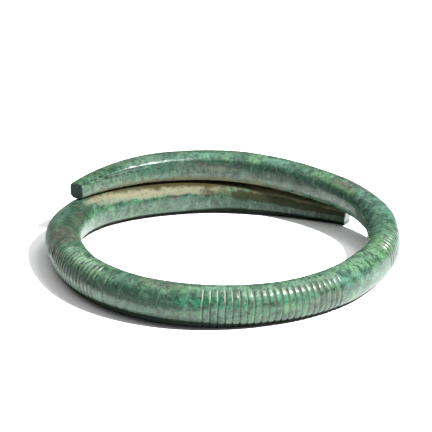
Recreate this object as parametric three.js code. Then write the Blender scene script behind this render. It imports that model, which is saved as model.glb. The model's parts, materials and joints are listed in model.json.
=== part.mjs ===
// Spiral bracelet: one cast bronze bar of round section, hand bent to a coil of one and a third
// turns. Both ends taper and turn squarer. The lower end lies at the back right, and the upper
// coil climbs over it and ends at the back left, just above the lower coil. Three groups of cut
// lines and a lone one cross the outer side of the bar.
// Millimetres, +Z up, lying on z = 0, with the origin under the middle of the outline.
// Angles are degrees around the coil, anticlockwise from +X seen from above.

import * as THREE from 'three';

// Coil
const ringRadius = 33;
const lowerEndAngle = 41;
const overlapAngle = 110.5;
const climbAngle = 64;
const gapOverLowerEnd = 1;
const gapUnderUpperEnd = 0.3;
const gapClosing = 3;

// Height of the bar's section, from the lower end to the upper end
const lowerEndThickness = 3.6;
const lowerTaperThickness = 6.7;
const backLeftThickness = 7.85;
const bodyThickness = 8.05;
const frontRightThickness = 7.65;
const upperCoilThickness = 6.8;
const upperTaperThickness = 5.75;
const upperEndThickness = 3.5;
const upperTaperAngle = 31;
const endBevel = 0.3;

// Shape of the section: its width is a share of its height, and an exponent of 2 is round,
// with a higher one squarer
const widthShare = 0.92;
const roundSection = 2.05;
const squareSection = 3.4;
const squareAngle = 100;

// Lines cut across the outer and upper side of the bar. The reach is how many degrees of the
// section a line runs from the middle of the outer side, upwards and downwards.
const lineWidth = 0.55;
const lineDepth = 0.26;
const linePitch = 1.22;
const lineFade = 12;
const leftLines = { startAngle: 194, count: 16, reach: 70 };
const loneLine = { startAngle: 231, count: 1, reach: 60 };
const frontLines = { startAngle: 263.5, count: 21, reach: 70 };
const rightLines = { startAngle: 343.5, count: 10, reach: 56 };
const lineGroups = [leftLines, loneLine, frontLines, rightLines];

// How far the hand-bent coil stands outside the true circle, as [angle, distance]
const bends = [
  [36, 3.8],
  [45, 1.8],
  [55, 0.2],
  [70, -0.6],
  [90, -0.2],
  [115, 0.5],
  [142, 1.9],
  [165, 0.9],
  [180, -0.5],
  [195, -1.4],
  [215, -1.1],
  [257, 0.3],
  [290, -0.7],
  [332, -2],
  [360, -0.4],
  [378, 0.7],
  [415, -0.4],
  [450, 0.1],
  [510, 2.3],
];

// Fineness of the faceted solid
const sides = 18;
const plainStep = 5;
const tangentStep = 0.5;

const fullTurn = 360;
const upperEndAngle = lowerEndAngle + fullTurn + overlapAngle;
const overlapStart = lowerEndAngle + fullTurn;
const millimetresPerDegree = THREE.MathUtils.degToRad(ringRadius);

const thicknesses = [
  [lowerEndAngle, lowerEndThickness],
  [90, lowerTaperThickness],
  [150, backLeftThickness],
  [210, bodyThickness],
  [255, bodyThickness],
  [290, frontRightThickness],
  [335, frontRightThickness],
  [390, upperCoilThickness],
  [430, upperCoilThickness],
  [upperEndAngle - upperTaperAngle, upperTaperThickness],
  [upperEndAngle, upperEndThickness],
];

function slopeAt(stations, index) {
  const before = stations[Math.max(index - 1, 0)];
  const after = stations[Math.min(index + 1, stations.length - 1)];
  return (after[1] - before[1]) / (after[0] - before[0]);
}

// A smooth curve through a list of [angle, value] stations.
function valueAt(stations, angle) {
  const last = stations.length - 2;
  let index = 0;
  while (index < last && angle > stations[index + 1][0]) {
    index += 1;
  }
  const [startAngle, startValue] = stations[index];
  const [endAngle, endValue] = stations[index + 1];
  const span = endAngle - startAngle;
  const t = THREE.MathUtils.clamp((angle - startAngle) / span, 0, 1);
  const startSlope = slopeAt(stations, index) * span;
  const endSlope = slopeAt(stations, index + 1) * span;
  const rise = endValue - startValue;
  const eased = (startSlope + endSlope - 2 * rise) * t + 3 * rise - 2 * startSlope - endSlope;
  return startValue + startSlope * t + eased * t * t;
}

function thicknessAt(angle) {
  return valueAt(thicknesses, angle);
}

function sectionExponent(angle) {
  const toEnd = Math.min(angle - lowerEndAngle, upperEndAngle - angle);
  const roundness = THREE.MathUtils.smoothstep(toEnd, 0, squareAngle);
  return THREE.MathUtils.lerp(squareSection, roundSection, roundness);
}

function power(value, exponent) {
  return Math.sign(value) * Math.abs(value) ** (2 / exponent);
}

// The corners of a section stand half a step off the vertical, so that its lowest side is flat.
function cornerAngle(side) {
  return THREE.MathUtils.degToRad(-90 + (side + 0.5) * fullTurn / sides);
}

function sectionHeight(angle) {
  return thicknessAt(angle) * power(Math.cos(Math.PI / sides), sectionExponent(angle));
}

function gapAt(angle) {
  const t = THREE.MathUtils.clamp((angle - overlapStart) / overlapAngle, 0, 1);
  return THREE.MathUtils.lerp(gapUnderUpperEnd, gapOverLowerEnd, (1 - t) ** gapClosing);
}

// Height of the bar's underside: on the ground, then climbing, then a gap above the lower coil.
function undersideAt(angle) {
  if (angle >= overlapStart) {
    return sectionHeight(angle - fullTurn) + gapAt(angle);
  }
  const topOfClimb = sectionHeight(lowerEndAngle) + gapOverLowerEnd;
  const t = THREE.MathUtils.clamp((angle - overlapStart) / climbAngle + 1, 0, 1);
  const slopeOverLowerEnd = sectionHeight(lowerEndAngle + 1) - sectionHeight(lowerEndAngle);
  const endSlope = slopeOverLowerEnd * climbAngle;
  return t * t * ((3 - 2 * t) * topOfClimb + (t - 1) * endSlope);
}

function centreAt(angle) {
  const radius = ringRadius + valueAt(bends, angle);
  const turn = THREE.MathUtils.degToRad(angle);
  const height = undersideAt(angle) + sectionHeight(angle) / 2;
  return new THREE.Vector3(radius * Math.cos(turn), radius * Math.sin(turn), height);
}

// One ring of corners around the bar, with the lines' depth taken off its outer side.
function sectionCorners(row) {
  const before = centreAt(row.angle - tangentStep);
  const along = centreAt(row.angle + tangentStep).sub(before).normalize();
  const outward = new THREE.Vector3(along.y, -along.x, 0).normalize();
  const upward = new THREE.Vector3().crossVectors(outward, along);
  const halfThickness = thicknessAt(row.angle) / 2 - row.bevel;
  const exponent = sectionExponent(row.angle);
  const corners = [];
  for (let side = 0; side < sides; side += 1) {
    const around = cornerAngle(side);
    const fromOuterSide = THREE.MathUtils.radToDeg(Math.acos(Math.cos(around)));
    const fade = THREE.MathUtils.smoothstep(fromOuterSide, row.reach - lineFade, row.reach + lineFade);
    const reach = halfThickness - row.cut * (1 - fade);
    const corner = centreAt(row.angle);
    corner.addScaledVector(outward, reach * widthShare * power(Math.cos(around), exponent));
    corner.addScaledVector(upward, reach * power(Math.sin(around), exponent));
    corners.push(corner);
  }
  return corners;
}

function plainRow(angle) {
  return { angle, cut: 0, reach: 0, bevel: 0 };
}

function lineRows(group) {
  const rows = [];
  const halfWidth = lineWidth / 2 / millimetresPerDegree;
  const step = linePitch / millimetresPerDegree;
  for (let line = 0; line < group.count; line += 1) {
    const middle = group.startAngle + line * step;
    rows.push(plainRow(middle - halfWidth));
    rows.push({ ...plainRow(middle), cut: lineDepth, reach: group.reach });
    rows.push(plainRow(middle + halfWidth));
  }
  return rows;
}

// Plain rows fill a stretch between two rows that are already there.
function plainRows(fromAngle, toAngle) {
  const rows = [];
  const steps = Math.max(Math.round((toAngle - fromAngle) / plainStep), 1);
  for (let step = 1; step < steps; step += 1) {
    rows.push(plainRow(THREE.MathUtils.lerp(fromAngle, toAngle, step / steps)));
  }
  return rows;
}

function rowsAlongBar() {
  const bevelAngle = endBevel / millimetresPerDegree;
  const fixedRows = [
    { ...plainRow(lowerEndAngle), bevel: endBevel },
    plainRow(lowerEndAngle + bevelAngle),
    ...lineGroups.flatMap(lineRows),
    plainRow(upperEndAngle - bevelAngle),
    { ...plainRow(upperEndAngle), bevel: endBevel },
  ];
  const rows = [fixedRows[0]];
  for (let index = 1; index < fixedRows.length; index += 1) {
    rows.push(...plainRows(fixedRows[index - 1].angle, fixedRows[index].angle));
    rows.push(fixedRows[index]);
  }
  return rows;
}

function barGeometry() {
  const rings = rowsAlongBar().map(sectionCorners);
  const indices = [];
  for (let row = 0; row + 1 < rings.length; row += 1) {
    for (let side = 0; side < sides; side += 1) {
      const here = row * sides + side;
      const beside = row * sides + (side + 1) % sides;
      indices.push(here, here + sides, beside + sides);
      indices.push(here, beside + sides, beside);
    }
  }
  const lastRing = (rings.length - 1) * sides;
  for (let side = 1; side + 1 < sides; side += 1) {
    indices.push(0, side, side + 1);
    indices.push(lastRing, lastRing + side + 1, lastRing + side);
  }
  const geometry = new THREE.BufferGeometry().setFromPoints(rings.flat());
  geometry.setIndex(indices);
  geometry.computeVertexNormals();
  return geometry;
}

// The origin moves under the middle of the outline, and the underside stays on z = 0.
function centreInPlan(geometry) {
  geometry.computeBoundingBox();
  const middle = geometry.boundingBox.getCenter(new THREE.Vector3());
  geometry.translate(-middle.x, -middle.y, -geometry.boundingBox.min.z);
  return geometry;
}

const patinatedBronze = new THREE.MeshStandardMaterial({
  color: 0x4c8b70,
  roughness: 0.35,
  metalness: 0.3,
});

const bracelet = new THREE.Mesh(centreInPlan(barGeometry()), patinatedBronze);
bracelet.name = 'bracelet';

const spiralBracelet = new THREE.Group();
spiralBracelet.add(bracelet);

export default spiralBracelet;
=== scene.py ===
import functools
import json
import math

import bmesh
import bpy
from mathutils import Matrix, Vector

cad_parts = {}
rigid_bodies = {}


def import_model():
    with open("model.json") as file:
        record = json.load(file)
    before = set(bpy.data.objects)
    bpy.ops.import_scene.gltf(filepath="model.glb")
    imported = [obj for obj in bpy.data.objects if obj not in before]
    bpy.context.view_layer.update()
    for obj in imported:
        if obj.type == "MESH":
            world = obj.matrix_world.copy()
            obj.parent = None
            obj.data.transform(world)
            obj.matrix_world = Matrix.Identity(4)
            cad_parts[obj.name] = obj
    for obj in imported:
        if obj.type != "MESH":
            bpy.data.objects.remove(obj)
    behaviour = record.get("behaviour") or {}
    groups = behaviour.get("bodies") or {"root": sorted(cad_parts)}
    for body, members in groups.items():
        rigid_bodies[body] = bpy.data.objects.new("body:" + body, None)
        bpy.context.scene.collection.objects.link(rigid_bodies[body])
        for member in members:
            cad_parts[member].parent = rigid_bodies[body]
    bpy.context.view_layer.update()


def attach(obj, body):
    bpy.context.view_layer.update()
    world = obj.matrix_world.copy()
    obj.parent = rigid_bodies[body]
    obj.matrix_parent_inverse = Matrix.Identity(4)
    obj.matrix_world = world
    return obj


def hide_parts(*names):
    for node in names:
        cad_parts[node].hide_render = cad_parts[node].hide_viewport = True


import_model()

bl_info = {
    "name": "Spiral bracelet",
    "version": (1, 0, 0),
    "blender": (4, 5, 0),
    "location": "3D View > Sidebar > Bracelet",
    "description": "An ancient bronze bar bent to a coil, with cut lines and a green patina",
    "category": "Add Mesh",
}

MM = 0.001
NODE = "bracelet"

# The coil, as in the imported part: angles in degrees around it, anticlockwise from +X seen from
# above, and lengths in millimetres.
FULL_TURN = 360
COIL_MIDDLE = (0.225, 0.319)
GAP_CLOSING = 3
SQUARE_ANGLE = 100
CAD_SIDES = 18
BENDS = [
    (36, 3.8), (45, 1.8), (55, 0.2), (70, -0.6), (90, -0.2), (115, 0.5), (142, 1.9), (165, 0.9),
    (180, -0.5), (195, -1.4), (215, -1.1), (257, 0.3), (290, -0.7), (332, -2), (360, -0.4),
    (378, 0.7), (415, -0.4), (450, 0.1), (510, 2.3),
]

# How the bar is meshed. Rows stand at even steps and at these distances from each end and from
# the middle of each line, in millimetres. An end face has rings inset by shares of the radius.
BAR_SIDES = 64
BLANK_RADIUS = 4
STRETCH_ROWS = 32
ROW_STEP = 0.36
END_ROWS = (0, 0.04, 0.1, 0.18, 0.3)
LINE_ROWS = (-0.4, -0.26, -0.16, -0.08, 0, 0.08, 0.16, 0.26, 0.4)
END_RINGS = (0.12, 0.2, 0.25)
# Degrees between the points that the bar is bent along, how near two vertices are to be one in
# millimetres, the least weight that counts, and the edge angle below which shading is smooth
GUIDE_STEP = 0.5
WELD_DISTANCE = 0.001
LEAST_WEIGHT = 0.001
SMOOTH_BELOW = 40

# Lumps of the relief: their size in millimetres and how many times it is halved again
HAND_WORK = (7, 1)
CORROSION = (0.9, 2)

# Groups of lines: first angle, number, spacing in millimetres, how far a line reaches around the
# section from the middle of the outer side, how full of brown polish the lines are, and their
# depth as a share of the full one.
LINE_GROUPS = [
    (194, 16, 1.22, 84, 0.5, 1.0),
    (231, 1, 1.22, 60, 0.6, 1.0),
    (263.5, 22, 1.255, 70, 0.8, 1.0),
    (343.5, 10, 1.22, 80, 0.9, 0.6),
]
# Degrees over which a line fades out on either side of its reach, and how far along the bar it is
# felt from its middle
LINE_FADE = 12
LINE_SPAN = 1
# Between these degrees around the bar, going down, the fill in the lines thins out to this share
# of itself
FILL_THINS = (-8, 20)
LOWEST_FILL = 0.35
# Pale bloom at the upper ends of the first lines of the front group: degrees around the bar
# where it starts and is whole, and distances along it where it is whole and has gone
BLOOM = (18, 40, 133, 142)

# Worn ridge along the upper coil: degrees around the bar, half width in degrees, then distances
# from the lower end where it starts, stands whole, starts to fade and has gone
RIDGE = (149, 5.5, 222, 236, 254, 268)

# Nicks beside the ridge: distance along the bar, degrees around it, half length in millimetres,
# half width in degrees
NICKS = [
    (272.4, 132, 0.35, 5), (271.3, 139, 0.4, 4), (270.1, 146, 0.5, 4), (268.9, 138, 0.4, 5),
    (267.6, 145, 0.6, 4), (266.2, 139, 0.5, 5), (264.9, 150, 0.5, 4), (263.5, 158, 0.6, 4),
    (261.9, 160, 0.6, 4), (260.2, 163, 0.6, 4), (258.4, 160, 0.5, 4), (256.4, 165, 0.5, 4),
    (253.9, 163, 0.4, 3), (251.0, 168, 0.4, 3),
]

# Size of each noise in the crust in millimetres, then its detail and roughness
CRUST_NOISES = {
    "clouds": (6.5, 2, 0.55),
    "torn": (2.2, 5, 0.7),
    "blotches": (3.4, 4, 0.62),
    "mottling": (1.9, 5, 0.72),
    "fine_mottling": (0.85, 4, 0.75),
    "grain": (0.42, 2, 0.6),
}
# Streaks run round the bar: their width along it in millimetres, their frequency around it, then
# their detail and roughness
STREAK_WIDTH = 0.7
STREAK_TURNS = 0.9
STREAK_GRAIN = (3, 0.6)

# Crust that follows a noise: the noise, its value where the crust is missing and where it is
# whole, strength and colour
CRUST_BELOW_PATCHES = [
    ("clouds", 0.5, 0.7, 0.45, "leaf_green"),
    ("clouds", 0.48, 0.32, 0.4, "turquoise"),
    ("blotches", 0.54, 0.64, 0.35, "leaf_green"),
    ("mottling", 0.54, 0.68, 0.3, "pale_green"),
]
CRUST_OVER_PATCHES = [
    ("blotches", 0.5, 0.38, 0.6, "deep_green_and_painted_shade"),
    ("mottling", 0.52, 0.38, 0.85, "deep_green_and_painted_shade"),
    ("streaks", 0.46, 0.34, 0.3, "dark"),
    ("streaks", 0.56, 0.68, 0.25, "pale_green"),
    ("mottling", 0.54, 0.68, 0.25, "pale_green"),
    ("fine_mottling", 0.47, 0.33, 0.75, "dark"),
    ("grain", 0.58, 0.7, 0.35, "pale_green"),
]

# Patches of crust, some of them partly painted shade or painted glints: distance along the bar
# from the lower end, degrees around it from the middle of the outer side over the top, half length
# in millimetres, half width in degrees, colour and strength.
PATCHES = [
    # Partly painted shade: the band along the front, below its top, is darkened where it faces the
    # dim room, and the patch at -28 degrees darkens under it
    (118, 26, 14, 28, "deep_green_and_painted_shade", 0.85),
    (119, 20, 13, 18, "dull_crust_and_painted_shade", 0.45),
    (118, 24, 15, 15, "deep_green_and_painted_shade", 0.5),
    (120, -28, 13, 12, "dull_crust_and_painted_shade", 0.45),
    (98, 25, 14, 32, "deep_green_and_painted_shade", 0.6),
    (98, 20, 11, 18, "dull_crust_and_painted_shade", 0.45),
    (76, 120, 12, 46, "deep_green_and_painted_shade", 0.95),
    (72, 124, 10, 30, "dark", 0.5),
    (79, 35, 12, 45, "dull_crust_and_painted_shade", 0.55),
    (64, 95, 6, 40, "dull_crust_and_painted_shade", 0.5),
    (214, 158, 15, 22, "deep_green_and_painted_shade", 0.9),
    (214, 142, 14, 11, "deep_green_and_painted_shade", 0.5),
    (218, 150, 20, 16, "deep_green_and_painted_shade", 0.6),
    (224, 172, 13, 20, "dark", 0.35),
    (240, 178, 27, 24, "dull_crust_and_painted_shade", 0.35),
    (252, 162, 14, 24, "deep_green_and_painted_shade", 0.6),
    (258, 127, 24, 15, "dull_green", 0.75),
    (247, 125, 14, 16, "turquoise", 0.3),
    (258, 168, 13, 16, "emerald_and_painted_shade", 0.4),
    (187, 66, 9, 24, "dull_green", 0.85),
    (267, 112, 9, 38, "dull_crust_and_painted_shade", 0.45),
    (138, 33, 15, 12, "dull_green", 0.55),
    (140, 76, 14, 20, "pale_green", 0.35),
    (130, 48, 6, 16, "dull_green", 0.6),
    # Painted shadow on the inner side of the lower end
    (12, 182, 20, 46, "deep_green_and_painted_shade", 0.85),
    (12, 182, 20, 40, "dull_crust_and_painted_shade", 0.4),
    (38, 174, 9, 18, "deep_green_and_painted_shade", 0.5),
    (52, 178, 6, 16, "deep_green_and_painted_shade", 0.4),
    (44, 196, 16, 16, "grey_green", 0.3),
    (230, 158, 10, 18, "dark", 0.6),
    (242, 152, 3, 9, "dark", 0.5),
    (172, 16, 6, 20, "deep_green_and_painted_shade", 0.7),
    (197, 158, 9, 22, "deep_green_and_painted_shade", 0.35),
    (188, 184, 12, 24, "dull_crust_and_painted_shade", 0.7),
    (186, 178, 12, 18, "dark", 0.35),
    (127, 26, 2.2, 14, "emerald_and_painted_shade", 0.8),
    # Partly painted shade in the band along the front that faces the dim room
    (139, 26, 14, 22, "emerald_and_painted_shade", 0.75),
    (206, 118, 9, 24, "leaf_green", 0.55),
    (170, 68, 11, 40, "leaf_green", 0.55),
    (163, 80, 12, 34, "pale_green", 0.4),
    (104, 75, 6, 30, "leaf_green", 0.3),
    (101, 72, 7, 20, "pale_green", 0.6),
    # Partly painted glints: a pale patch over the bright specks here
    (101, 88, 6, 18, "bloom", 0.15),
    (221, 118, 6, 20, "turquoise", 0.5),
    (195, 85, 9, 42, "turquoise", 0.6),
    (156, 48, 4, 14, "turquoise", 0.6),
    (163, 30, 3, 14, "turquoise", 0.5),
    (75, 75, 5, 25, "turquoise", 0.35),
    (87, 85, 5, 45, "brown", 0.9),
    (90, 22, 6, 22, "brown", 0.55),
    (74, 135, 5, 20, "brown", 0.4),
    (121, 80, 5, 22, "brown", 0.45),
    (189, 136, 9, 22, "turquoise", 0.8),
    (202, 78, 4, 20, "brown", 0.6),
    (205, 112, 3.5, 22, "brown", 0.8),
    (231, 90, 4, 14, "brown", 0.6),
    (240, 168, 7, 12, "brown", 0.5),
    (41, 166, 2.2, 7, "brown", 0.8),
    (152, -8, 4, 24, "brown", 0.5),
    (236, 195, 10, 24, "grey_green", 0.6),
    (255, 108, 12, 28, "grey_green", 0.4),
    (266, 190, 10, 40, "grey_green", 0.4),
    (212, 190, 16, 30, "grey_green", 0.5),
]
PATCH_RAGGEDNESS = 0.9

# Soil between the coils, on the lower one and under the upper one, in the same form. Some of it
# carries painted light and shade: darker where the upper coil's shadow falls on the lower coil,
# paler deep in the shade of the gap.
SOIL = [
    (58, 119, 8, 14, "soil", 0.85),
    (47, 136, 14, 21, "soil", 0.8),
    (46, 131, 12, 13, "soil", 0.8),
    (36, 142, 10, 16, "soil", 1.0),
    (248, 238, 32, 30, "soil", 0.8),
    # Painted shadow on the soil of the lower end
    (10, 150, 22, 24, "end_soil_in_painted_shadow", 0.95),
    (6, 122, 22, 18, "damp_soil", 1.0),
    # Painted light: soil made paler deep in the shade of the gap
    (5, 98, 20, 16, "soil_with_painted_light", 1.0),
    # Painted shadow of the upper coil on the soil of the lower coil
    (33, 104, 27, 29, "gap_soil_in_painted_shadow", 1.0),
    (7, 106, 17, 24, "damp_soil", 0.9),
]
SOIL_RAGGEDNESS = 0.75

# Dark grains over all of it, in the form of the crust above
CRUST_OVER_SOIL = [("fine_mottling", 0.5, 0.36, 0.3, "dark")]

# Painted shade under the bar, and crust in the cuts, each following a value stored on the bar, in
# the same form
UNDERSIDE_PAINTED_SHADE = ("underside", 0, 1, 0.95, "underside")
CRUST_IN_CUTS = [
    ("nicks", 0.1, 0.5, 0.9, "dark"),
    ("line_fill", 0.1, 0.9, 0.9, "line_fill"),
    ("line_bloom", 0.1, 0.8, 0.7, "bloom"),
]
# The end faces: how near to an end their colour starts and is whole, and the strength of each
END_FACE_SKIN = (0.05, 0.01)
UPPER_FACE_STRENGTH = 1
LOWER_FACE_STRENGTH = 0.8

# Where a patch fades out, as shares of its half size
PATCH_EDGE = (1.25, 0.65)

# The painted shade under the bar, dark and matt, reaches up to a height on a section that runs
# from -1 to 1, given at distances along the bar. It fades over the given height.
PAINTED_SHADE_EDGE = [
    (0, -0.45), (26, -0.48), (38, -0.65), (58, -0.66), (74, -0.52), (98, -0.43), (122, -0.43),
    (140, -0.66), (160, -0.73), (186, -0.7), (206, -1), (222, -1.3), (280, -1.3),
]
PAINTED_SHADE_FADE = 0.09
MATT_LAYERS = (
    "underside", "upper_end_face", "dull_crust_and_painted_shade", "dull_green", "soil", "soil_with_painted_light", "damp_soil",
    "end_soil_in_painted_shadow", "gap_soil_in_painted_shadow",
)

# Roughness and shine of matt crust and of waxed crust. At a glancing view the wax shines less:
# the shine left there, and how glancing the view is where it starts to fall and has fallen.
MATT_ROUGHNESS = 0.8
WAXED_ROUGHNESS = 0.27
MATT_SHINE = 0.05
WAXED_SHINE = 0.54
GLANCING_SHINE = 0.12
GLANCING = (0.6, 0.95)
WAX_IOR = 1.5
# Relief of the finest grain: strength and height in millimetres
GRAIN_RELIEF = (0.5, 0.04)


def linear_colour(code):
    """An sRGB hex colour, such as "4C8B70", as linear red, green and blue."""
    channels = [int(code[start:start + 2], 16) / 255 for start in (0, 2, 4)]
    return [c / 12.92 if c <= 0.04045 else ((c + 0.055) / 1.055) ** 2.4 for c in channels]


def size(name, description, default, **settings):
    return bpy.props.FloatProperty(name=name, description=description, default=default, **settings)


def length(name, description, millimetres):
    return size(name, description, millimetres * MM, unit="LENGTH", precision=5, min=0)


def turn(name, description, degrees):
    return size(name, description, math.radians(degrees), unit="ROTATION")


def colour(name, description, code):
    return bpy.props.FloatVectorProperty(
        name=name, description=description, default=linear_colour(code), subtype="COLOR",
        size=3, min=0, max=1,
    )


class BarSizes(bpy.types.PropertyGroup):
    ring_radius: length("Ring radius", "From the middle of the coil to the middle of the bar", 33)
    lower_end_angle: turn("Lower end angle", "Where the coil starts", 41)
    overlap_angle: turn("Overlap angle", "How far the upper coil runs over the lower one", 110.5)
    climb_angle: turn("Climb angle", "How long the bar climbs before it passes the lower end", 64)
    gap_over_lower_end: length("Gap at the lower end", "Air between the coils there", 1)
    gap_under_upper_end: length("Gap at the upper end", "Air between the coils there", 0.3)
    lower_end: length("Lower end", "Thickness of the bar at its start", 3.6)
    lower_taper: length("Lower taper", "Thickness at the back", 6.7)
    back_left: length("Back left", "Thickness at the back left", 7.85)
    body: length("Body", "Thickness at the front left", 8.05)
    front_right: length("Front right", "Thickness there", 7.65)
    upper_coil: length("Upper coil", "Thickness where it passes the lower end", 6.8)
    upper_taper: length("Upper taper", "Thickness a little before the upper end", 5.75)
    upper_end: length("Upper end", "Thickness of the bar at its finish", 3.5)
    upper_taper_angle: turn(
        "Upper taper angle", "How far before the upper end the upper taper is measured", 31,
    )
    end_bevel: length("End bevel", "Width of the worn edge round each end face", 0.3)
    width_share: size("Width share", "Width of the section as a share of its height", 0.92)
    round_section: size("Round section", "Exponent of the section in the middle of the bar", 2.05)
    square_section: size("Square section", "Exponent of the section at the ends", 3.4)
    line_width: length("Line width", "Width of a cut line", 0.3)
    line_depth: length("Line depth", "Depth of a cut line", 0.24)
    unevenness: length("Unevenness", "Height of the shallow lumps left by hand work", 0.14)
    pit_depth: length("Pit depth", "Depth of the corrosion pits", 0.06)
    ridge_height: length("Ridge height", "Rise of the worn ridge on the upper coil", 0.12)
    nick_depth: length("Nick depth", "Depth of the nicks beside the ridge", 0.2)


class PatinaColours(bpy.types.PropertyGroup):
    malachite: colour("Malachite", "The main green crust", "31563F")
    # Also used as painted shade: along the front and on the lower end's inner side
    deep_green_and_painted_shade: colour("Deep green", "Dense dark crust between the paler patches", "173626")
    pale_green: colour("Pale green", "Thin crust, rubbed by wear", "5F7F68")
    # Also used as painted shade along the front
    emerald_and_painted_shade: colour("Emerald", "Clear, bright crust", "236046")
    turquoise: colour("Turquoise", "Bluer crust", "44695F")
    leaf_green: colour("Leaf green", "Yellower crust", "4C7049")
    grey_green: colour("Grey green", "Thin crust with dust in it", "50594B")
    brown: colour("Brown", "Tarnished metal and red-brown oxide", "453F35")
    dark: colour("Dark", "Black-green mottling", "141D18")
    # Over one patch it also paints glints
    bloom: colour("Bloom", "Pale lime in some lines and over one patch", "8F9A84")
    dull_green: colour("Dull green", "Green crust that the wax left dull", "345843")
    # Also used as painted shade: along the front, under it, and on the lower end's inner side
    dull_crust_and_painted_shade: colour("Dull crust", "Rough dark crust that the wax left dull", "2C3A2E")
    # Painted shade: the underside is darkened where it faces its own shadow on the table
    underside: colour("Underside", "Matt black-green where it lay in the ground", "0C110D")
    upper_end_face: colour("Upper end face", "Plain dark tarnish", "37443F")
    lower_end_face: colour("Lower end face", "Scraped, with a grey bloom", "5A6461")
    soil: colour("Soil", "Burial soil caught between the coils", "706E5A")
    # Painted light: soil made paler where the gap lies in shade
    soil_with_painted_light: colour("Pale soil", "Dry soil on top of the lower end", "A8A487")
    damp_soil: colour("Damp soil", "Browner soil on the lower end", "63624C")
    # Painted shadow on the soil of the lower end
    end_soil_in_painted_shadow: colour("Stained soil", "Thin green-brown soil under it", "2E3021")
    # Painted shadow of the upper coil on the soil in the gap
    gap_soil_in_painted_shadow: colour("Dark soil", "Soil deep in the gap, never cleaned out", "3B3521")
    line_fill: colour("Line fill", "Old polish and soil in the cut lines", "5E5145")


class StageSettings(bpy.types.PropertyGroup):
    floor: colour("Floor", "Matt white table", "F2F2F2")
    key: size("Key light", "Strength of the key light", 1.0)
    top: size("Top light", "Strength of the wide light overhead", 1.0)
    glint: size("Glint light", "Strength of the small light high on the right", 1.0)
    surroundings: size("Surroundings", "Brightness of the dim room", 0.28)


def slope_at(stations, index):
    before = stations[max(index - 1, 0)]
    after = stations[min(index + 1, len(stations) - 1)]
    return (after[1] - before[1]) / (after[0] - before[0])


def value_at(stations, place):
    """A smooth curve through a list of (place, value) stations."""
    index = 0
    while index < len(stations) - 2 and place > stations[index + 1][0]:
        index += 1
    start_place, start = stations[index]
    end_place, end = stations[index + 1]
    span = end_place - start_place
    t = min(max((place - start_place) / span, 0), 1)
    start_slope = slope_at(stations, index) * span
    end_slope = slope_at(stations, index + 1) * span
    rise = end - start
    eased = (start_slope + end_slope - 2 * rise) * t + 3 * rise - 2 * start_slope - end_slope
    return start + start_slope * t + eased * t * t


def smooth_step(value, start, end):
    t = min(max((value - start) / (end - start), 0), 1)
    return t * t * (3 - 2 * t)


class Coil:
    """The way the bar runs, in millimetres and degrees."""

    def __init__(self, sizes):
        self.sizes = sizes
        self.start = math.degrees(sizes.lower_end_angle)
        self.overlap = math.degrees(sizes.overlap_angle)
        self.climb = math.degrees(sizes.climb_angle)
        self.overlap_start = self.start + FULL_TURN
        self.end = self.overlap_start + self.overlap
        self.thicknesses = [
            (self.start, sizes.lower_end / MM), (90, sizes.lower_taper / MM),
            (150, sizes.back_left / MM), (210, sizes.body / MM), (255, sizes.body / MM),
            (290, sizes.front_right / MM), (335, sizes.front_right / MM),
            (390, sizes.upper_coil / MM), (430, sizes.upper_coil / MM),
            (self.end - math.degrees(sizes.upper_taper_angle), sizes.upper_taper / MM),
            (self.end, sizes.upper_end / MM),
        ]

    def thickness(self, angle):
        return value_at(self.thicknesses, angle)

    def exponent(self, angle):
        to_end = min(angle - self.start, self.end - angle)
        roundness = smooth_step(to_end, 0, SQUARE_ANGLE)
        square = self.sizes.square_section
        return square + (self.sizes.round_section - square) * roundness

    def section_height(self, angle):
        flat = math.cos(math.pi / CAD_SIDES) ** (2 / self.exponent(angle))
        return self.thickness(angle) * flat

    def underside(self, angle):
        over = self.sizes.gap_over_lower_end / MM
        if angle >= self.overlap_start:
            under = self.sizes.gap_under_upper_end / MM
            t = min((angle - self.overlap_start) / self.overlap, 1)
            gap = under + (over - under) * (1 - t) ** GAP_CLOSING
            return self.section_height(angle - FULL_TURN) + gap
        top = self.section_height(self.start) + over
        t = min(max((angle - self.overlap_start) / self.climb + 1, 0), 1)
        slope = self.section_height(self.start + 1) - self.section_height(self.start)
        return t * t * ((3 - 2 * t) * top + (t - 1) * slope * self.climb)

    def centre(self, angle):
        radius = self.sizes.ring_radius / MM + value_at(BENDS, angle)
        around = math.radians(angle)
        height = self.underside(angle) + self.section_height(angle) / 2
        return Vector((
            COIL_MIDDLE[0] + radius * math.cos(around),
            COIL_MIDDLE[1] + radius * math.sin(around),
            height,
        ))


def run_of(coil):
    """Points along the coil as (angle, distance from the lower end, centre)."""
    count = round((coil.end - coil.start) / GUIDE_STEP)
    points = []
    distance = 0
    for index in range(count + 1):
        angle = coil.start + (coil.end - coil.start) * index / count
        centre = coil.centre(angle)
        if points:
            distance += (centre - points[-1][2]).length
        points.append((angle, distance, centre))
    return points


def distance_at(run, angle):
    for before, after in zip(run, run[1:]):
        if angle <= after[0]:
            share = (angle - before[0]) / (after[0] - before[0])
            return before[1] + (after[1] - before[1]) * share
    return run[-1][1]


def angle_at(run, distance):
    for before, after in zip(run, run[1:]):
        if distance <= after[1]:
            share = (distance - before[1]) / (after[1] - before[1])
            return before[0] + (after[0] - before[0]) * share
    return run[-1][0]


def cut_lines(run, ring_radius):
    """Every cut line as (distance from the lower end, reach in degrees, fill, depth)."""
    lines = []
    for first, count, spacing, *form in LINE_GROUPS:
        for index in range(count):
            angle = first + math.degrees(index * spacing / ring_radius)
            lines.append((distance_at(run, angle), *form))
    return lines


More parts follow.
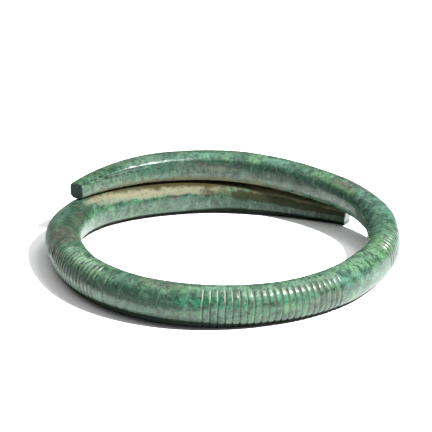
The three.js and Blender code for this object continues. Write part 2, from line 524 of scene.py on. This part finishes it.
def rows_along(run, lines):
    """Where the rows of the mesh stand: close together across each line, even elsewhere."""
    total = run[-1][1]
    fixed = list(END_ROWS)
    for distance, *_ in lines:
        fixed.extend(distance + offset for offset in LINE_ROWS)
    fixed.extend(total - offset for offset in reversed(END_ROWS))
    rows = [fixed[0]]
    for before, after in zip(fixed, fixed[1:]):
        steps = max(round((after - before) / ROW_STEP), 1)
        rows.extend(before + (after - before) * step / steps for step in range(1, steps + 1))
    return rows


def only(item):
    """Deselects everything and makes one object active."""
    if bpy.context.object and bpy.context.object.mode != "OBJECT":
        bpy.ops.object.mode_set(mode="OBJECT")
    bpy.ops.object.select_all(action="DESELECT")
    item.select_set(True)
    bpy.context.view_layer.objects.active = item


def drawn_stretch(rows, is_first, is_last):
    """One stretch of the blank, drawn out along X row by row from a circle."""
    bpy.ops.object.select_all(action="DESELECT")
    bpy.ops.mesh.primitive_circle_add(
        vertices=BAR_SIDES, radius=BLANK_RADIUS * MM, fill_type="NOTHING",
        location=(0, 0, 0), rotation=(0, math.radians(90), 0),
    )
    bpy.ops.object.transform_apply(location=False, rotation=True, scale=False)
    bpy.ops.object.mode_set(mode="EDIT")
    bpy.ops.mesh.select_all(action="SELECT")
    bpy.ops.transform.translate(value=(rows[0] * MM, 0, 0))
    if is_first:
        close_end()
    for before, after in zip(rows, rows[1:]):
        bpy.ops.mesh.extrude_edges_move(
            TRANSFORM_OT_translate={"value": ((after - before) * MM, 0, 0)},
        )
    if is_last:
        close_end()
    bpy.ops.object.mode_set(mode="OBJECT")
    return bpy.context.object


def close_end():
    """Fills the selected ring with an end face, then selects the ring's edges again."""
    bpy.ops.mesh.edge_face_add()
    for share in END_RINGS:
        bpy.ops.mesh.inset(thickness=BLANK_RADIUS * MM * share)
    bpy.ops.mesh.poke()
    bpy.ops.mesh.select_mode(type="EDGE")
    for share in END_RINGS:
        bpy.ops.mesh.select_more()
    bpy.ops.mesh.region_to_loop()


def straight_bar(rows):
    """The round blank: stretches of it are drawn out one by one, then joined."""
    stretches = []
    for first in range(0, len(rows) - 1, STRETCH_ROWS):
        stretch_rows = rows[first:first + STRETCH_ROWS + 1]
        is_last = first + STRETCH_ROWS >= len(rows) - 1
        stretches.append(drawn_stretch(stretch_rows, first == 0, is_last))
    bpy.ops.object.select_all(action="DESELECT")
    for stretch in stretches:
        stretch.select_set(True)
    bar = stretches[0]
    bpy.context.view_layer.objects.active = bar
    bpy.ops.object.join()
    bar.name = "bronze_bar"
    bpy.ops.object.mode_set(mode="EDIT")
    bpy.ops.mesh.select_all(action="SELECT")
    bpy.ops.mesh.remove_doubles(threshold=WELD_DISTANCE * MM)
    bpy.ops.mesh.normals_make_consistent(inside=False)
    bpy.ops.object.mode_set(mode="OBJECT")
    return bar


def weigh(bar, name, weights):
    """A vertex group with one weight for each vertex."""
    group = bar.vertex_groups.new(name=name)
    for index, weight in enumerate(weights):
        if weight > LEAST_WEIGHT:
            group.add([index], min(weight, 1), "REPLACE")


def bell(distance, half_width):
    """A soft bump that is 1 in the middle and has gone at about twice its half width."""
    return math.exp(-(distance / half_width) ** 2)


def degrees_around(spot):
    """Degrees around the blank from the middle of its outer side over the top."""
    return math.degrees(math.atan2(spot.z, spot.y))


def store(bar, name, kind, values):
    """Keeps a value or a vector for each vertex, for the material to read."""
    attribute = bar.data.attributes.new(name, kind, "POINT")
    key = "vector" if kind == "FLOAT_VECTOR" else "value"
    attribute.data.foreach_set(key, values)


def modify(bar, kind, name, **settings):
    """Adds a modifier and applies it."""
    modifier = bar.modifiers.new(name, kind)
    for key, value in settings.items():
        setattr(modifier, key, value)
    only(bar)
    bpy.ops.object.modifier_apply(modifier=modifier.name)


def coil_guide(coil, run):
    """The curve that the blank is bent along. Its radius carries the bar's thickness."""
    curve = bpy.data.curves.new("coil_guide", "CURVE")
    curve.dimensions = "3D"
    curve.twist_mode = "Z_UP"
    curve.use_radius = True
    spline = curve.splines.new("POLY")
    spline.points.add(len(run) - 1)
    for point, (angle, _, centre) in zip(spline.points, run):
        point.co = (*(centre * MM), 1)
        point.radius = coil.thickness(angle) / (2 * BLANK_RADIUS)
    guide = bpy.data.objects.new("coil_guide", curve)
    bpy.context.scene.collection.objects.link(guide)
    return guide


def displace(bar, name, height, middle=0, **settings):
    """Moves the surface outwards, or inwards where the height is negative."""
    modify(bar, "DISPLACE", name, strength=height, mid_level=middle, **settings)


def displace_in_lumps(bar, name, height, lumps, **settings):
    """Raises and lowers the surface in soft lumps of a real size."""
    texture = bpy.data.textures.new(name, "CLOUDS")
    millimetres, depth = lumps
    texture.noise_scale = millimetres * MM
    texture.noise_depth = depth
    displace(bar, name, height, 0.5, texture=texture, texture_coords="LOCAL", **settings)


class MESH_OT_bronze_bar(bpy.types.Operator):
    """Draw out a bronze bar, cut its lines, bend it to the coil and give it its patina"""

    bl_idname = "mesh.bronze_bar"
    bl_label = "Bronze bar"

    def execute(self, context):
        sizes = context.scene.bracelet_sizes
        coil = Coil(sizes)
        run = run_of(coil)
        total = run[-1][1]
        lines = cut_lines(run, sizes.ring_radius / MM)
        bar = straight_bar(rows_along(run, lines))

        spots = [Vector((v.co.x, -v.co.y, v.co.z)) / MM for v in bar.data.vertices]
        self.mark(bar, spots, lines, sizes.line_width / MM)
        self.shape_ends(bar, spots, coil, run)
        self.narrow(bar, sizes.width_share)
        guide = coil_guide(coil, run)
        modify(bar, "CURVE", "bend to the coil", object=guide, deform_axis="POS_X")
        bpy.data.objects.remove(guide)
        displace_in_lumps(bar, "hand work", sizes.unevenness, HAND_WORK)
        displace(bar, "ridge", sizes.ridge_height, vertex_group="ridge")
        displace(bar, "nicks", -sizes.nick_depth, vertex_group="nicks")
        displace(bar, "cut the lines", -sizes.line_depth, vertex_group="cut_lines")
        displace_in_lumps(bar, "corrosion", sizes.pit_depth, CORROSION,
                          vertex_group="ridge", invert_vertex_group=True)
        self.lay_flat(bar)
        only(bar)
        bpy.ops.object.shade_smooth_by_angle(angle=math.radians(SMOOTH_BELOW))
        bar.vertex_groups.clear()
        bar.data.materials.clear()
        bar.data.materials.append(patinated_bronze(context.scene.bracelet_colours, total))
        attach(bar, "root")
        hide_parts(NODE)
        return {"FINISHED"}

    def mark(self, bar, spots, lines, line_width):
        """Keeps each vertex's place on the bar, and how far it belongs to each mark there."""
        places = [c for x, y, z in spots for c in (x, y / BLANK_RADIUS, z / BLANK_RADIUS)]
        cuts, fills, blooms = zip(*(self.cut_at(spot, lines, line_width) for spot in spots))
        nicks = [self.nicks_at(spot) for spot in spots]
        store(bar, "bar_place", "FLOAT_VECTOR", places)
        store(bar, "line_fill", "FLOAT", fills)
        store(bar, "line_bloom", "FLOAT", blooms)
        # How far each vertex lies in the painted shade under the bar
        store(bar, "underside", "FLOAT", [self.painted_shade_at(spot) for spot in spots])
        store(bar, "nicks", "FLOAT", nicks)
        weigh(bar, "cut_lines", cuts)
        weigh(bar, "ridge", [self.ridge_at(spot) for spot in spots])
        weigh(bar, "nicks", nicks)

    @staticmethod
    def narrow(bar, width_share):
        """Makes the bar a little narrower than it is high."""
        only(bar)
        bpy.ops.object.mode_set(mode="EDIT")
        bpy.ops.mesh.select_all(action="SELECT")
        bpy.ops.transform.resize(value=(1, width_share, 1), center_override=(0, 0, 0))
        bpy.ops.object.mode_set(mode="OBJECT")

    @staticmethod
    def shape_ends(bar, spots, coil, run):
        """Turns the round section squarer towards the ends, and wears the edges of both."""
        total = run[-1][1]
        bevel = coil.sizes.end_bevel / MM

        @functools.cache
        def form_at(along):
            to_end = min(along, total - along)
            slope = max(1 - max(to_end, 0) / bevel, 0)
            worn = bevel * (1 - math.sqrt(1 - slope ** 2)) / BLANK_RADIUS
            return coil.exponent(angle_at(run, min(max(along, 0), total))), worn

        moves = []
        for along, outward, upward in spots:
            power, worn = form_at(round(along, 3))
            radius = math.hypot(outward, upward)
            if radius < WELD_DISTANCE:
                moves.append((0, 0))
                continue
            powers = abs(outward / radius) ** power + abs(upward / radius) ** power
            growth = powers ** (-1 / power) * (1 - worn) - 1
            moves.append((-outward * growth, upward * growth))
        for axis, index in (("Y", 0), ("Z", 1)):
            for sign in (1, -1):
                name = f"{axis}{sign}"
                weigh(bar, name, [sign * move[index] for move in moves])
                displace(bar, "square the ends", sign * MM, direction=axis, vertex_group=name)

    @staticmethod
    def cut_at(spot, lines, width):
        """How deep a line is cut at a spot on the blank, and how full of polish and of bloom it
        is there, all from 0 to 1."""
        around = degrees_around(spot)
        fullness = LOWEST_FILL + (1 - LOWEST_FILL) * smooth_step(around, *FILL_THINS)
        deepest = 0
        filled = 0
        for distance, reach, fill, depth in lines:
            if abs(spot.x - distance) < LINE_SPAN:
                fade = 1 - smooth_step(abs(around), reach - LINE_FADE, reach + LINE_FADE)
                cut = bell(spot.x - distance, width / 2) * fade
                deepest = max(deepest, cut * depth)
                filled = max(filled, cut * fill * fullness)
        start, whole, last, gone = BLOOM
        bloom = smooth_step(around, start, whole) * (1 - smooth_step(spot.x, last, gone))
        return deepest, filled, filled * bloom

    # How far a spot lies in the painted shade under the bar, from 0 to 1
    @staticmethod
    def painted_shade_at(spot):
        edge = value_at(PAINTED_SHADE_EDGE, spot.x)
        fade = PAINTED_SHADE_FADE
        return 1 - smooth_step(spot.z / BLANK_RADIUS, edge - fade, edge + fade)

    @staticmethod
    def ridge_at(spot):
        middle, half_width, start, whole, last, gone = RIDGE
        height = smooth_step(spot.x, start, whole) * (1 - smooth_step(spot.x, last, gone))
        return bell(degrees_around(spot) - middle, half_width) * height

    @staticmethod
    def nicks_at(spot):
        around = degrees_around(spot)
        return max(
            bell(spot.x - along, half_length) * bell(around - middle, half_width)
            for along, middle, half_length, half_width in NICKS
        )

    @staticmethod
    def lay_flat(bar):
        """Presses what hangs below the table onto it."""
        only(bar)
        bpy.ops.object.mode_set(mode="EDIT")
        mesh = bmesh.from_edit_mesh(bar.data)
        bpy.ops.mesh.select_all(action="DESELECT")
        bpy.ops.mesh.select_mode(type="VERT")
        for vertex in mesh.verts:
            vertex.select = vertex.co.z < 0
        mesh.select_flush_mode()
        bmesh.update_edit_mesh(bar.data)
        bpy.ops.transform.resize(value=(1, 1, 0), center_override=(0, 0, 0))
        bpy.ops.object.mode_set(mode="OBJECT")


def add_node(tree, kind, inputs=None, **settings):
    """Adds a node. Each input is a value, or an output of another node that is linked to it."""
    node = tree.nodes.new(kind)
    for name, value in settings.items():
        setattr(node, name, value)
    for key, value in (inputs or {}).items():
        socket = node.inputs[key]
        if isinstance(value, bpy.types.NodeSocket):
            tree.links.new(value, socket)
        elif socket.type == "RGBA":
            socket.default_value = (*value[:3], 1)
        else:
            socket.default_value = value
    return node


def patch_reach(tree, place, torn, patch, raggedness):
    """How far off a patch's middle a place is, in half sizes. The torn noise, which is about a
    half on average, adds the raggedness to it on average."""
    along, around, half_length, half_width = patch
    chord = 2 * math.sin(math.radians(half_width) / 2)
    spread = (1 / half_length, 1 / chord, 1 / chord)
    middle = (along, math.cos(math.radians(around)), math.sin(math.radians(around)))
    offset = [-m * k for m, k in zip(middle, spread)]
    shifted = add_node(tree, "ShaderNodeVectorMath", {0: place, 1: spread, 2: offset},
                       operation="MULTIPLY_ADD").outputs["Vector"]
    reach = add_node(tree, "ShaderNodeVectorMath", {0: shifted},
                     operation="LENGTH").outputs["Value"]
    return add_node(tree, "ShaderNodeMath", {0: torn, 1: raggedness * 2, 2: reach},
                    operation="MULTIPLY_ADD").outputs["Value"]


def patinated_bronze(colours, total):
    """Cast bronze with a dense malachite patina, cleaned and waxed: a dark green crust, mottled
    from a few tenths of a millimetre up to patches of a centimetre, under a thin clear gloss.
    Shade under the bar, along its front and between the coils, some light deep in the gap and a
    few glints are painted into its colour."""
    material = bpy.data.materials.new("patinated_bronze_waxed")
    material.use_nodes = True
    tree = material.node_tree
    tree.nodes.clear()
    coordinates = add_node(tree, "ShaderNodeTexCoord").outputs["Object"]
    in_millimetres = add_node(
        tree, "ShaderNodeMapping", {"Vector": coordinates, "Scale": (1 / MM,) * 3},
    ).outputs["Vector"]
    place = add_node(tree, "ShaderNodeAttribute", attribute_name="bar_place").outputs["Vector"]
    along = add_node(tree, "ShaderNodeSeparateXYZ", {"Vector": place}).outputs["X"]
    stored = {}
    for name in ("underside", "line_fill", "line_bloom", "nicks"):
        stored[name] = add_node(tree, "ShaderNodeAttribute", attribute_name=name).outputs["Fac"]
    noises = {}
    for name, (millimetres, detail, roughness) in CRUST_NOISES.items():
        noises[name] = add_node(tree, "ShaderNodeTexNoise", {
            "Vector": in_millimetres, "Scale": 1 / millimetres, "Detail": detail,
            "Roughness": roughness,
        }).outputs["Fac"]
    across = add_node(tree, "ShaderNodeMapping", {
        "Vector": place, "Scale": (1 / STREAK_WIDTH, STREAK_TURNS, STREAK_TURNS),
    }).outputs["Vector"]
    noises["streaks"] = add_node(tree, "ShaderNodeTexNoise", {
        "Vector": across, "Scale": 1, "Detail": STREAK_GRAIN[0], "Roughness": STREAK_GRAIN[1],
    }).outputs["Fac"]

    # From the metal outwards: what each layer of crust, painted shade or painted light follows,
    # the values where it is missing and whole, its strength and its colour
    layers = [(noises[name], *rest) for name, *rest in CRUST_BELOW_PATCHES]
    for patches, raggedness in ((PATCHES, PATCH_RAGGEDNESS), (SOIL, SOIL_RAGGEDNESS)):
        for *patch, name, strength in patches:
            reach = patch_reach(tree, place, noises["torn"], patch, raggedness)
            edges = [raggedness + edge for edge in PATCH_EDGE]
            layers.append((reach, *edges, strength, name))
        if patches is PATCHES:
            layers += [(noises[name], *rest) for name, *rest in CRUST_OVER_PATCHES]
            # The painted shade under the bar, laid over the patches
            name, *rest = UNDERSIDE_PAINTED_SHADE
            layers.append((stored[name], *rest))
    layers += [(noises[name], *rest) for name, *rest in CRUST_OVER_SOIL]
    layers += [(stored[name], *rest) for name, *rest in CRUST_IN_CUTS]
    starts, whole = END_FACE_SKIN
    layers += [
        (along, total - starts, total - whole, UPPER_FACE_STRENGTH, "upper_end_face"),
        (along, starts, whole, LOWER_FACE_STRENGTH, "lower_end_face"),
    ]

    shade = colours.malachite
    gloss = 1
    for source, missing, whole, strength, name in layers:
        share = add_node(tree, "ShaderNodeMapRange", {
            "Value": source, "From Min": missing, "From Max": whole, "To Max": strength,
        }, interpolation_type="SMOOTHSTEP").outputs["Result"]
        shade = add_node(tree, "ShaderNodeMix", {
            "Factor": share, "A": shade, "B": getattr(colours, name),
        }, data_type="RGBA").outputs["Result"]
        if name in MATT_LAYERS:
            gloss = add_node(tree, "ShaderNodeMath", {0: gloss, 1: share},
                             operation="SUBTRACT", use_clamp=True).outputs["Value"]
    glancing = add_node(tree, "ShaderNodeLayerWeight", {"Blend": 0.5}).outputs["Facing"]
    shine_left = add_node(tree, "ShaderNodeMapRange", {
        "Value": glancing, "From Min": GLANCING[0], "From Max": GLANCING[1],
        "To Min": WAXED_SHINE, "To Max": GLANCING_SHINE,
    }).outputs["Result"]
    shine = add_node(tree, "ShaderNodeMath", {0: gloss, 1: shine_left, 2: MATT_SHINE},
                     operation="MULTIPLY_ADD").outputs["Value"]
    rough = add_node(tree, "ShaderNodeMapRange", {
        "Value": gloss, "To Min": MATT_ROUGHNESS, "To Max": WAXED_ROUGHNESS,
    }).outputs["Result"]
    strength, height = GRAIN_RELIEF
    bump = add_node(tree, "ShaderNodeBump", {
        "Height": noises["grain"], "Strength": strength, "Distance": height * MM,
    }).outputs["Normal"]
    shader = add_node(tree, "ShaderNodeBsdfPrincipled", {
        "Base Color": shade, "Roughness": rough, "Specular IOR Level": shine,
        "IOR": WAX_IOR, "Normal": bump,
    })
    add_node(tree, "ShaderNodeOutputMaterial", {"Surface": shader.outputs["BSDF"]})
    return material


def paper_white(tint):
    """Matt coated board: a flat, even white with no gloss."""
    material = bpy.data.materials.new("matt_white_board")
    material.use_nodes = True
    shader = material.node_tree.nodes["Principled BSDF"]
    shader.inputs["Base Color"].default_value = (*tint, 1)
    shader.inputs["Roughness"].default_value = 1
    shader.inputs["Specular IOR Level"].default_value = 0
    return material


# Camera, from the fit of the coil to the photograph: its place in millimetres, tilt in degrees
# and focal length in millimetres. It sees from CLIP_START, in metres.
CAMERA_PLACE = (-1.285, -343.69, 130.49)
CAMERA_TILT = 70.71
CAMERA_LENS = 150
CLIP_START = 0.01

# Lights: azimuth from +X towards +Y and height above the floor in degrees, distance and size in
# metres, power in watts
KEY_LIGHT = (-29, 50, 2, 0.14, 114)
TOP_LIGHT = (90, 84, 1.1, 2.2, 10)
GLINT_LIGHT = (4, 68, 1.1, 0.3, 3)
TABLE_SIZE = 6


class SCENE_OT_bracelet_stage(bpy.types.Operator):
    """Set the camera, a white table and soft studio light"""

    bl_idname = "scene.bracelet_stage"
    bl_label = "Stage"

    def execute(self, context):
        stage = context.scene.bracelet_stage
        bpy.ops.object.select_all(action="DESELECT")
        bpy.ops.object.camera_add(
            location=[value * MM for value in CAMERA_PLACE],
            rotation=(math.radians(CAMERA_TILT), 0, 0),
        )
        camera = context.object
        camera.data.lens = CAMERA_LENS
        camera.data.clip_start = CLIP_START
        context.scene.camera = camera
        bpy.ops.mesh.primitive_plane_add(size=TABLE_SIZE, location=(0, 0, 0))
        floor = context.object
        floor.name = "floor"
        floor.data.materials.append(paper_white(stage.floor))
        self.add_light("key", KEY_LIGHT, stage.key)
        self.add_light("top", TOP_LIGHT, stage.top)
        self.add_light("glint", GLINT_LIGHT, stage.glint)
        world = bpy.data.worlds.new("dim_room")
        context.scene.world = world
        world.use_nodes = True
        background = world.node_tree.nodes["Background"]
        background.inputs["Color"].default_value = (1, 1, 1, 1)
        background.inputs["Strength"].default_value = stage.surroundings
        context.scene.view_settings.view_transform = "Standard"
        return {"FINISHED"}

    @staticmethod
    def add_light(name, light_form, strength):
        azimuth, height, distance, width, power = light_form
        azimuth = math.radians(azimuth)
        height = math.radians(height)
        towards = Vector((
            math.cos(azimuth) * math.cos(height),
            math.sin(azimuth) * math.cos(height),
            math.sin(height),
        ))
        bpy.ops.object.light_add(
            type="AREA", location=towards * distance,
            rotation=towards.to_track_quat("Z", "Y").to_euler(),
        )
        light = bpy.context.object
        light.name = name
        light.data.shape = "DISK"
        light.data.size = width
        light.data.energy = power * strength


class VIEW3D_PT_bracelet(bpy.types.Panel):
    """Sizes, colours and steps of the bracelet"""

    bl_label = "Spiral bracelet"
    bl_space_type = "VIEW_3D"
    bl_region_type = "UI"
    bl_category = "Bracelet"

    def draw(self, context):
        scene = context.scene
        for title, settings in (
            ("Bar", scene.bracelet_sizes),
            ("Patina", scene.bracelet_colours),
            ("Stage", scene.bracelet_stage),
        ):
            box = self.layout.box()
            box.label(text=title)
            for name in settings.__annotations__:
                box.prop(settings, name)
        self.layout.operator(MESH_OT_bronze_bar.bl_idname)
        self.layout.operator(SCENE_OT_bracelet_stage.bl_idname)


CLASSES = (
    BarSizes, PatinaColours, StageSettings, MESH_OT_bronze_bar, SCENE_OT_bracelet_stage,
    VIEW3D_PT_bracelet,
)


def register():
    for each in CLASSES:
        bpy.utils.register_class(each)
    bpy.types.Scene.bracelet_sizes = bpy.props.PointerProperty(type=BarSizes)
    bpy.types.Scene.bracelet_colours = bpy.props.PointerProperty(type=PatinaColours)
    bpy.types.Scene.bracelet_stage = bpy.props.PointerProperty(type=StageSettings)


def unregister():
    del bpy.types.Scene.bracelet_stage
    del bpy.types.Scene.bracelet_colours
    del bpy.types.Scene.bracelet_sizes
    for each in reversed(CLASSES):
        bpy.utils.unregister_class(each)


def main():
    register()
    bpy.ops.mesh.bronze_bar()
    bpy.ops.scene.bracelet_stage()


if __name__ == "__main__":
    main()
